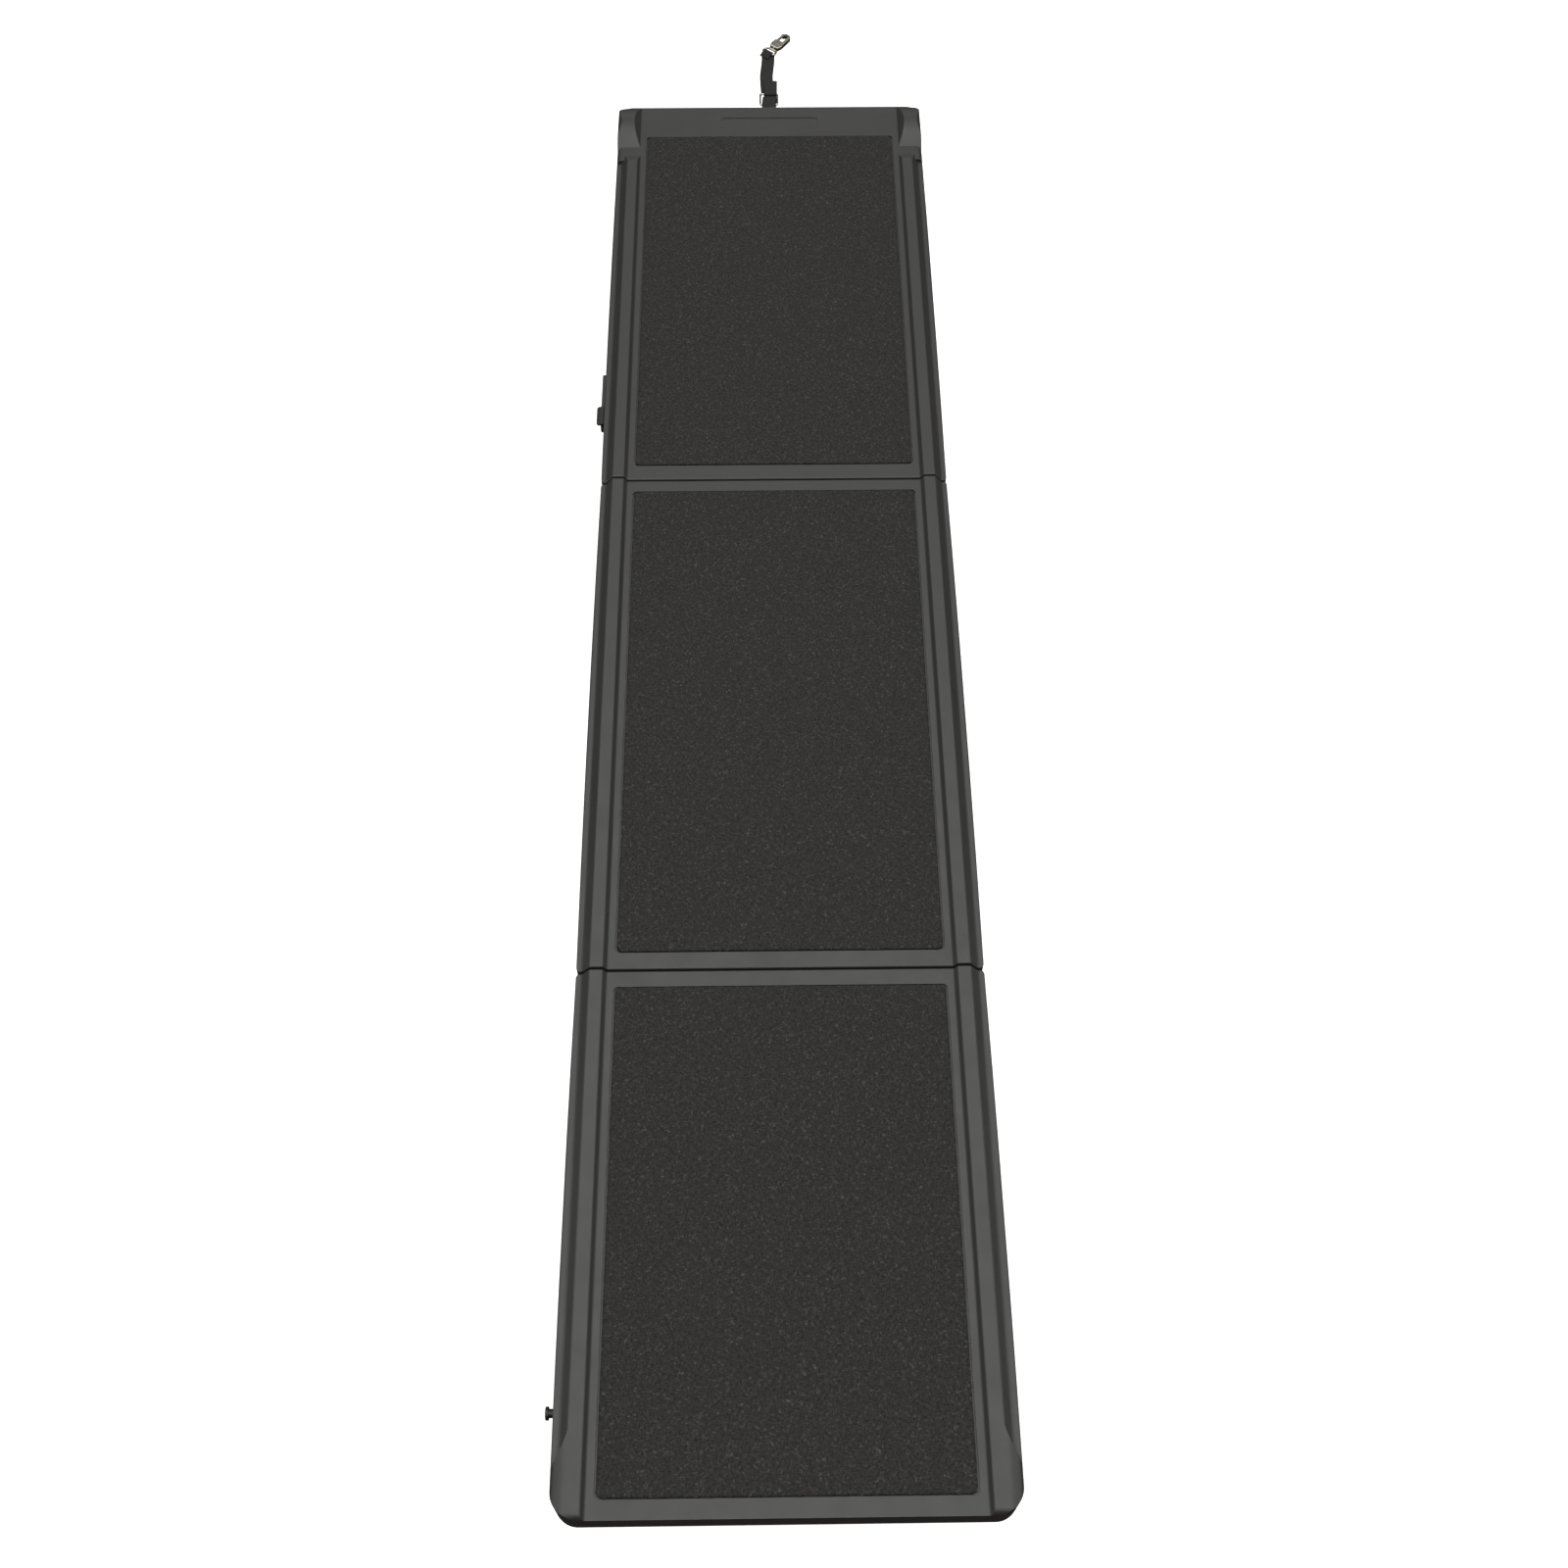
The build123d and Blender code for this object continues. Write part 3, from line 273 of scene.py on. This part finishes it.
def woven_webbing():
    """Polyester webbing: rows of ribs across, warp yarns along, by the strap's own UV map."""
    n = Nodes("webbing")
    uv = n.add("ShaderNodeUVMap", uv_map="weave").outputs["UV"]
    split = n.add("ShaderNodeSeparateXYZ")
    n.link(uv, split.inputs[0])
    across, along = split.outputs[0], split.outputs[1]
    yarn = n.sum(n.sum(across, WARP_YARNS * 2 * pi, "MULTIPLY"), 0.0, "SINE")
    pick = n.sum(n.sum(along, 2 * pi, "MULTIPLY"), 0.0, "SINE")
    over = n.sum(yarn, pick, "MULTIPLY")
    ribs = n.sum(n.spread(yarn, -1.0, 1.0), n.sum(n.spread(over, -1.0, 1.0), 0.7, "MULTIPLY"))
    fuzz = n.noise(n.place(), 2200.0, 2.0)
    body = n.blend(n.spread(ribs, 0.3, 1.5), (0.008, 0.008, 0.008), (0.038, 0.037, 0.036))
    body = n.blend(n.spread(fuzz, 0.55, 0.8, 0.0, 0.5), body, (0.07, 0.068, 0.066))
    normal = n.bump(n.sum(ribs, n.sum(fuzz, 0.3, "MULTIPLY")), 0.22 * MM)
    return n.finish(body, n.spread(ribs, 0.0, 1.7, 0.85, 0.6), normal, Specular_IOR_Level=0.3)


def thread():
    """Bonded polyester thread."""
    n = Nodes("stitch_thread")
    twist = n.noise(n.place(scale=(3000.0, 3000.0, 3000.0)), 1.0, 2.0)
    body = n.blend(twist, (0.02, 0.02, 0.02), (0.07, 0.07, 0.068))
    return n.finish(body, n.spread(twist, 0.3, 0.7, 0.45, 0.7), n.bump(twist, 0.08 * MM))


def metal(name, dark, light, rough, pitting=0.01 * MM):
    """Metal with fine drawn scratches, tarnish in patches and brighter edges."""
    n = Nodes(name)
    place = n.place()
    patches = n.noise(place, 160.0, 4.0, 0.6)
    lines = n.noise(n.place(scale=(300.0, 4000.0, 4000.0), turn=0.5), 1.0, 2.0)
    pits = n.noise(place, 1800.0, 3.0)
    edge = n.edges(0.5 * MM)
    body = n.blend(n.spread(patches, 0.35, 0.65), dark, light)
    bright = tuple(min(1.0, value * 1.25) for value in light)
    body = n.blend(n.sum(edge, 0.7, "MULTIPLY"), body, bright)
    scratches = n.sum(lines, SCRATCH_SHARE, "MULTIPLY")
    shine = n.spread(n.sum(patches, scratches), 0.3, 1.2, rough - 0.06, rough + 0.14)
    normal = n.bump(n.sum(pits, scratches), pitting)
    return n.finish(body, shine, normal, Metallic=1.0)


def rubber():
    """Soft black rubber with a fine matt bloom."""
    n = Nodes("grip_rubber")
    place = n.place()
    bloom = n.noise(place, 60.0, 3.0)
    dust = n.spread(n.noise(place, 900.0, 2.0), 0.6, 0.8)
    body = n.blend(bloom, (0.009, 0.009, 0.009), (0.022, 0.021, 0.02))
    body = n.blend(n.sum(dust, 0.3, "MULTIPLY"), body, (0.08, 0.075, 0.07))
    normal = n.bump(n.noise(place, 2000.0), 0.05 * MM)
    return n.finish(body, n.spread(bloom, 0.3, 0.7, 0.7, 0.9), normal, Specular_IOR_Level=0.35)


def hook_and_loop():
    """Hook-and-loop tape: rows of tiny loops."""
    n = Nodes("hook_and_loop")
    place = n.place()
    loops = n.cells(place, 900.0)
    rows = n.wave(place, 240.0)
    body = n.blend(n.sum(loops, rows, "MULTIPLY"), (0.01, 0.01, 0.01), (0.045, 0.045, 0.044))
    return n.finish(body, n.spread(loops, 0.0, 0.7, 0.95, 0.75), n.bump(n.sum(loops, rows), 0.3 * MM))


def make_materials():
    """Every material, by the record's slot."""
    deck = ((0.036, 0.0362, 0.035), (0.042, 0.0422, 0.041))
    pan = ((0.028, 0.028, 0.028), (0.038, 0.038, 0.0375))
    black = ((0.006, 0.006, 0.006), (0.012, 0.012, 0.012))
    nickel = ((0.55, 0.53, 0.49), (0.74, 0.71, 0.66))
    cast = ((0.40, 0.385, 0.33), (0.62, 0.60, 0.52))
    zinc = ((0.50, 0.50, 0.49), (0.68, 0.68, 0.66))
    return {
        "deck_plastic": moulded_plastic("deck_plastic", *deck, 0.42),
        "pan_plastic": moulded_plastic("pan_plastic", *pan, 0.52),
        "black_plastic": moulded_plastic("black_plastic", *black, 0.4),
        "mat_textile": traction_textile(),
        "hook_and_loop": hook_and_loop(),
        "grip_rubber": rubber(),
        "webbing": woven_webbing(),
        "nickel": metal("nickel", *nickel, 0.2),
        "dark_cast_metal": metal("dark_cast_metal", *cast, 0.22, 0.03 * MM),
        "zinc_steel": metal("zinc_steel", *zinc, 0.34, 0.015 * MM),
    }


# ---------------------------------------------------------------- CAD nodes that stay


def dress_cad(materials):
    """Gives every CAD node its slot's material."""
    for part in frame["record"]["subparts"]:
        mesh = frame["nodes"][part["node"]].data
        mesh.materials.clear()
        mesh.materials.append(materials[part["material_slot"]])


# ---------------------------------------------------------------- studio


def add_camera():
    """The camera, level with the horizon apart from a slight roll."""
    ahead = Vector((
        sin(CAMERA_YAW) * cos(CAMERA_PITCH),
        cos(CAMERA_YAW) * cos(CAMERA_PITCH),
        -sin(CAMERA_PITCH),
    ))
    level = Vector((cos(CAMERA_YAW), -sin(CAMERA_YAW), 0))
    top = level.cross(ahead)
    right = cos(CAMERA_ROLL) * level + sin(CAMERA_ROLL) * top
    up = -sin(CAMERA_ROLL) * level + cos(CAMERA_ROLL) * top
    camera = bpy.data.objects.new("camera", bpy.data.cameras.new("camera"))
    turn = Matrix((right, up, -ahead)).transposed()
    camera.matrix_world = Matrix.Translation(CAMERA_PLACE) @ turn.to_4x4()
    camera.data.lens = CAMERA_LENS
    camera.data.sensor_width = CAMERA_SENSOR
    camera.data.clip_start = 0.01
    bpy.context.scene.collection.objects.link(camera)
    bpy.context.scene.camera = camera


def add_floor():
    """A wide white floor, low enough for the sections to fold under the middle one above it."""
    mesh = bpy.data.meshes.new("floor")
    corners = [(-1, -1), (1, -1), (1, 1), (-1, 1)]
    points = [(x * FLOOR_REACH, y * FLOOR_REACH, FLOOR_LEVEL) for x, y in corners]
    mesh.from_pydata(points, [], [(0, 1, 2, 3)])
    floor = bpy.data.objects.new("floor", mesh)
    n = Nodes("floor_white")
    tone = n.spread(n.noise(n.place(), 3.0), 0.3, 0.7, 0.0, 1.0)
    white = n.blend(tone, (0.93, 0.93, 0.93), (0.95, 0.95, 0.95))
    n.link(white, n.shader.inputs["Emission Color"])
    mesh.materials.append(n.finish(white, Roughness=0.9, Emission_Strength=0.85))
    floor.visible_diffuse = False
    floor.visible_glossy = False
    bpy.context.scene.collection.objects.link(floor)


def add_light(name, place, aim, size, energy):
    """A rectangular softbox at a place, aimed at a point."""
    lamp = bpy.data.lights.new(name, "AREA")
    lamp.shape = "RECTANGLE"
    lamp.size, lamp.size_y = size
    lamp.energy = energy
    light = bpy.data.objects.new(name, lamp)
    light.location = place
    light.rotation_euler = (Vector(aim) - Vector(place)).to_track_quat("-Z", "Y").to_euler()
    bpy.context.scene.collection.objects.link(light)


def add_surround():
    """A bright ceiling that fades to a dim, slightly warm room. The camera sees it as plain white."""
    world = bpy.data.worlds.new("surround")
    world.use_nodes = True
    tree = world.node_tree
    split = tree.nodes.new("ShaderNodeSeparateXYZ")
    tree.links.new(tree.nodes.new("ShaderNodeTexCoord").outputs["Generated"], split.inputs[0])
    height = tree.nodes.new("ShaderNodeMapRange")
    height.interpolation_type = "SMOOTHSTEP"
    height.inputs["From Min"].default_value = CEILING_FROM
    height.inputs["From Max"].default_value = CEILING_FULL
    tree.links.new(split.outputs["Z"], height.inputs["Value"])
    light = tree.nodes.new("ShaderNodeMix")
    light.data_type = "RGBA"
    light.inputs[6].default_value = ROOM
    light.inputs[7].default_value = CEILING
    tree.links.new(height.outputs["Result"], light.inputs[0])
    seen = tree.nodes.new("ShaderNodeMix")
    seen.data_type = "RGBA"
    seen.inputs[7].default_value = (1.0, 1.0, 1.0, 1.0)
    tree.links.new(tree.nodes.new("ShaderNodeLightPath").outputs["Is Camera Ray"], seen.inputs[0])
    tree.links.new(light.outputs[2], seen.inputs[6])
    tree.links.new(seen.outputs[2], tree.nodes["Background"].inputs["Color"])
    bpy.context.scene.world = world


def add_studio():
    """One wide softbox overhead, a low one at each side and one behind, in a soft surround."""
    add_light("overhead", (0.0, 0.9, 3.2), (0.0, 0.9, 0.0), (4.0, 5.0), 50.0)
    add_light("left_fill", (-3.0, 0.9, 0.9), (0.0, 0.9, 0.0), (1.2, 3.0), 17.0)
    add_light("right_fill", (3.0, 0.9, 0.9), (0.0, 0.9, 0.0), (1.2, 3.0), 17.0)
    add_light("back_fill", (0.0, 4.6, 0.9), (0.0, 1.5, 0.0), (3.0, 1.0), 6.0)
    add_surround()
    bpy.context.scene.view_settings.view_transform = "Standard"


# ---------------------------------------------------------------- pieces


def new_piece(mesh, body, slot, material, *replaced):
    """Shows a mesh as a piece that rides on a body and stands for CAD nodes."""
    piece = bpy.data.objects.new(mesh.name, mesh)
    bpy.context.scene.collection.objects.link(piece)
    mesh.materials.append(material)
    mesh.polygons.foreach_set("use_smooth", [True] * len(mesh.polygons))
    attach(piece, body)
    if replaced:
        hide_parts(*replaced)
    return piece


def nap_height(place):
    """The tufts' height at a point of a mat, from about -1 to 1."""
    coarse = noise.noise(place * 230.0)
    fine = noise.noise(place * 520.0 + Vector((3.1, 0.7, 5.3)))
    return coarse + 0.8 * fine


def mat_outline(along, length, half):
    """Half the mat's width at a distance from its end, with round corners."""
    inset = min(along, length - along, MAT_CORNER)
    return half - MAT_CORNER + sqrt(max(0.0, MAT_CORNER**2 - (MAT_CORNER - inset) ** 2))


def mat_point(low, high, across, along, on_side, on_end):
    """A point of a mat's face. across goes from -1 to 1 and along is the distance from the near end."""
    half, length = (high.x - low.x) / 2, high.y - low.y
    spot = Vector((mat_outline(along, length, half) * across, low.y + along, 0.0))
    fray = MAT_FRAY * noise.noise(spot * 160.0)
    spot.z = high.z - MAT_NAP + MAT_NAP * nap_height(spot) * 0.8
    if on_side or on_end:
        spot.z -= MAT_EDGE_DROP
    if on_side:
        spot.x += fray
    if on_end:
        spot.y += fray
    return spot


def mat_mesh(name, low, high):
    """A closed mat: napped face, rolled and slightly frayed cut edges, flat back."""
    length = high.y - low.y
    columns, rows = round((high.x - low.x) / MAT_STEP), round(length / MAT_STEP)
    wide = columns + 1
    points = [
        mat_point(low, high, 2 * i / columns - 1, length * row / rows, i in (0, columns), row in (0, rows))
        for row in range(rows + 1)
        for i in range(wide)
    ]
    top = [range(row * wide, (row + 1) * wide) for row in range(rows + 1)]
    faces = [(a[i], a[i + 1], b[i + 1], b[i]) for a, b in zip(top, top[1:]) for i in range(columns)]
    right, left = [line[-1] for line in top], [line[0] for line in top]
    rim = [*top[0][:-1], *right[:-1], *top[-1][:0:-1], *left[:0:-1]]
    skirt = [len(points) + i for i in range(len(rim))]
    points += [Vector((points[i].x, points[i].y, low.z)) for i in rim]
    for i, (upper, lower) in enumerate(zip(rim, skirt)):
        after = (i + 1) % len(rim)
        faces.append((upper, lower, skirt[after], rim[after]))
    faces.append(tuple(reversed(skirt)))
    mesh = bpy.data.meshes.new(name)
    mesh.from_pydata(points, [], faces)
    return mesh


def add_mats(materials):
    """The three traction mats, each a laid sheet on its hook-and-loop strips."""
    for section in ("ground", "middle", "vehicle"):
        node = f"{section}_mat"
        low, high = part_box(node)
        mesh = mat_mesh(f"{node}_textile", low, high)
        mat = new_piece(mesh, f"{section}_section", "mat_textile", materials["mat_textile"], node)


def sampled(name, points):
    """Points along a smooth NURBS line through a route's control points."""
    curve = bpy.data.curves.new(name, "CURVE")
    curve.dimensions = "3D"
    curve.resolution_u = 24
    spline = curve.splines.new("NURBS")
    spline.points.add(len(points) - 1)
    for control, place in zip(spline.points, points):
        control.co = (*place, 1.0)
    spline.order_u = 3
    spline.use_endpoint_u = True
    holder = bpy.data.objects.new(name, curve)
    line = bpy.data.meshes.new_from_object(holder)
    found = [vertex.co.copy() for vertex in line.vertices]
    bpy.data.objects.remove(holder)
    return found


def evenly(line, step):
    """The line's points, set again at even steps."""
    lengths = [0.0]
    for a, b in zip(line, line[1:]):
        lengths.append(lengths[-1] + (b - a).length)
    count = max(2, round(lengths[-1] / step))
    out, index = [], 0
    for i in range(count + 1):
        target = lengths[-1] * i / count
        while index < len(line) - 2 and lengths[index + 1] < target:
            index += 1
        span = lengths[index + 1] - lengths[index]
        share = (target - lengths[index]) / span if span else 0.0
        out.append(line[index].lerp(line[index + 1], share))
    return out


def faced_outwards(mesh):
    """The mesh, with every face's normal pointing out."""
    bm = bmesh.new()
    bm.from_mesh(mesh)
    bmesh.ops.recalc_face_normals(bm, faces=bm.faces)
    bm.to_mesh(mesh)
    bm.free()
    return mesh


def tube_faces(first, rings, sides):
    """The faces of a closed tube whose rings of points start at a point's number."""
    faces = []
    for start in range(first, first + (rings - 1) * sides, sides):
        for i in range(sides):
            j = (i + 1) % sides
            faces.append((start + i, start + j, start + sides + j, start + sides + i))
    last = first + (rings - 1) * sides
    faces.append(tuple(range(first, first + sides)))
    faces.append(tuple(reversed(range(last, last + sides))))
    return faces


def band_section(width, thick):
    """A band's outline: (sideways, up) points, with rounded selvedges."""
    half, edge = width / 2, thick / 2
    section = []
    for side in (1, -1):
        for i in range(FACE_POINTS):
            section.append((side * (1 - 2 * i / (FACE_POINTS - 1)) * (half - edge), side * edge))
        section.append((-side * half, 0.0))
    return section


def band_mesh(name, line, width, thick):
    """Woven band along a line, with real ribs across it and a UV map for its weave."""
    spots = evenly(line, RIB_PITCH / RINGS_PER_RIB)
    section = band_section(width, thick)
    points = []
    travelled = 0.0
    for index, spot in enumerate(spots):
        before, after = spots[max(index - 1, 0)], spots[min(index + 1, len(spots) - 1)]
        ahead = (after - before).normalized()
        across = (SIDEWAYS - ahead * SIDEWAYS.dot(ahead)).normalized()
        face = across.cross(ahead)
        travelled += (spot - before).length
        swell = 1.0 + RIB_SWELL * sin(2 * pi * travelled / RIB_PITCH)
        points += [spot + across * place + face * height * swell for place, height in section]
    mesh = bpy.data.meshes.new(name)
    mesh.from_pydata(points, [], tube_faces(0, len(spots), len(section)))
    weave = mesh.uv_layers.new(name="weave")
    for loop in mesh.loops:
        row, column = divmod(loop.vertex_index, len(section))
        weave.data[loop.index].uv = (section[column][0] / width + 0.5, row / RINGS_PER_RIB)
    return faced_outwards(mesh)


def bend(middle, radius, first, last, steps):
    """Points on an arc about the X axis, between two angles in degrees."""
    angles = [radians(first + (last - first) * i / steps) for i in range(steps + 1)]
    return [middle + radius * Vector((0, cos(angle), sin(angle))) for angle in angles]


def strap_line():
    """The strap's route from the ring to the hook."""
    _, ring_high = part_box("tether_ring")
    bar = ring_high.y - RING_WIRE
    return [Vector((side * MM, bar + along * MM, up * MM)) for along, side, up in STRAP_ROUTE]


def fold_mesh():
    """The strap's end, folded round the bar of the hook's eye."""
    wrap = EYE_WIRE + 0.1 * MM + WEB_THICK / 2
    line = [Vector((0, -9.0 * MM, -wrap)), Vector((0, -4.0 * MM, -wrap))]
    line += bend(Vector((0, 0, 0)), wrap, -90.0, 90.0, 8)
    line += [Vector((0, y, z)) * MM for y, z in ((-4.0, 1.3), (-7.0, -0.5), (-10.5, -1.0))]
    mesh = band_mesh("strap_fold_webbing", line, FOLD_WIDTH, WEB_THICK)
    mesh.transform(Matrix.Translation(EYE_PLACE) @ Matrix.Rotation(HOOK_TURN, 4, "Z"))
    return mesh


def joined(name, *meshes):
    """One mesh with the faces and UV maps of several."""
    bm = bmesh.new()
    for mesh in meshes:
        bm.from_mesh(mesh)
    whole = bpy.data.meshes.new(name)
    bm.to_mesh(whole)
    bm.free()
    return whole


def add_strap(materials):
    """The free strap between the ring and the snap hook."""
    line = evenly(sampled("strap_route", strap_line()), 1.5 * MM)
    free = band_mesh("strap_run", line, WEBBING, WEB_THICK)
    mesh = joined("strap_webbing", free, fold_mesh())
    strap = new_piece(mesh, "vehicle_section", "webbing", materials["webbing"], "tether_strap")


def add_tail(materials):
    """The strap's first end, folded round the ring's far bar. Returns the bar and the end's height."""
    _, ring_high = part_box("tether_ring")
    bar = Vector((2.4 * MM, ring_high.y - RING_WIRE, ring_high.z - RING_WIRE))
    wrap = RING_WIRE + PLAY + WEB_THICK / 2
    line = [Vector((bar.x - 1.0 * MM, bar.y + 5.0 * MM, STRAP_HEIGHT))]
    line += bend(bar, wrap, -70.0, -270.0, 8)
    resting = STRAP_HEIGHT + WEB_THICK + PLAY
    for along, rise in ((6.0, 1.1), (12.0, 0.35), (20.0, 0.0), (29.0, 0.15)):
        line.append(Vector((bar.x + 0.01 * along * MM, bar.y + along * MM, resting + rise * MM)))
    mesh = band_mesh("strap_tail_webbing", line, WEBBING, WEB_THICK)
    tail = new_piece(mesh, "vehicle_section", "webbing", materials["webbing"], "tether_strap_tail")
    return bar, resting


def add_anchor_loop(materials):
    """The webbing loop that holds the ring, both of its ends under the anchor plate."""
    low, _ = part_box("tether_anchor_loop")
    ring_low, ring_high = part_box("tether_ring")
    bar = Vector((0, ring_low.y + RING_WIRE, ring_high.z - RING_WIRE))
    wrap = RING_WIRE + PLAY + WEB_THICK / 2
    start, before_bar = low.y + 0.5 * MM, bar.y - 12 * MM
    deck_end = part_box("vehicle_deck_shell")[1].y
    inside, outside = deck_end - 6 * MM, deck_end + 12 * MM
    under = [(start, 4.75), (inside, 4.75), (outside, 1.75), (before_bar, 1.3)]
    over = [(before_bar, 3.9), (outside, 3.3), (inside, 6.25), (start, 6.25)]
    line = [Vector((0, y, z * MM)) for y, z in under]
    line += bend(bar + Vector((1.2 * MM, LOOP_SLACK, 0)), wrap, -100.0, 100.0, 10)
    line.append(bar + Vector((0, 0, wrap + 0.3 * MM)))
    line += [Vector((0, y, z * MM)) for y, z in over]
    mesh = band_mesh("anchor_loop_webbing", line, LOOP_WIDTH, WEB_THICK - 0.06 * MM)
    loop = new_piece(mesh, "vehicle_section", "webbing", materials["webbing"], "tether_anchor_loop")


def stitch_points(start, step, height):
    """The points of one stitch, a bead of thread that dips at its ends."""
    across = Vector((0, 0, 1)).cross(step).normalized()
    points = []
    for k in range(BEAD_RINGS):
        share = k / (BEAD_RINGS - 1)
        middle = start + step * (0.08 + 0.84 * share)
        middle.z = height + THREAD_RADIUS * (sin(pi * share) * 0.9 - 0.45)
        size = THREAD_RADIUS * (0.45 + 0.55 * sin(pi * share))
        for side in range(THREAD_SIDES):
            angle = 2 * pi * side / THREAD_SIDES
            points.append(middle + across * size * cos(angle) + Vector((0, 0, size * sin(angle))))
    return points


def stitch_mesh(name, rows, height):
    """Rows of short thread stitches between (start, end) points."""
    points, faces = [], []
    for start, end in rows:
        count = max(1, round((end - start).length / STITCH_PITCH))
        step = (end - start) / count
        for i in range(count):
            faces += tube_faces(len(points), BEAD_RINGS, THREAD_SIDES)
            points += stitch_points(start + step * i, step, height)
    mesh = bpy.data.meshes.new(name)
    mesh.from_pydata(points, [], faces)
    return faced_outwards(mesh)


def add_stitches(bar, resting):
    """A sewn box with a cross on the folded tail."""
    half, near, far = 6.4 * MM, bar.y + 14.0 * MM, bar.y + 27.0 * MM
    a, b, c, d = [Vector((bar.x + side * half, y, 0)) for y in (near, far) for side in (-1, 1)]
    rows = [(a, b), (b, d), (d, c), (c, a), (a, d), (b, c)]
    mesh = stitch_mesh("strap_stitches", rows, resting + WEB_THICK / 2 + PLAY)
    new_piece(mesh, "vehicle_section", "webbing", thread())


materials = make_materials()
dress_cad(materials)
add_camera()
add_floor()
add_studio()
add_mats(materials)
add_strap(materials)
add_stitches(*add_tail(materials))
add_anchor_loop(materials)
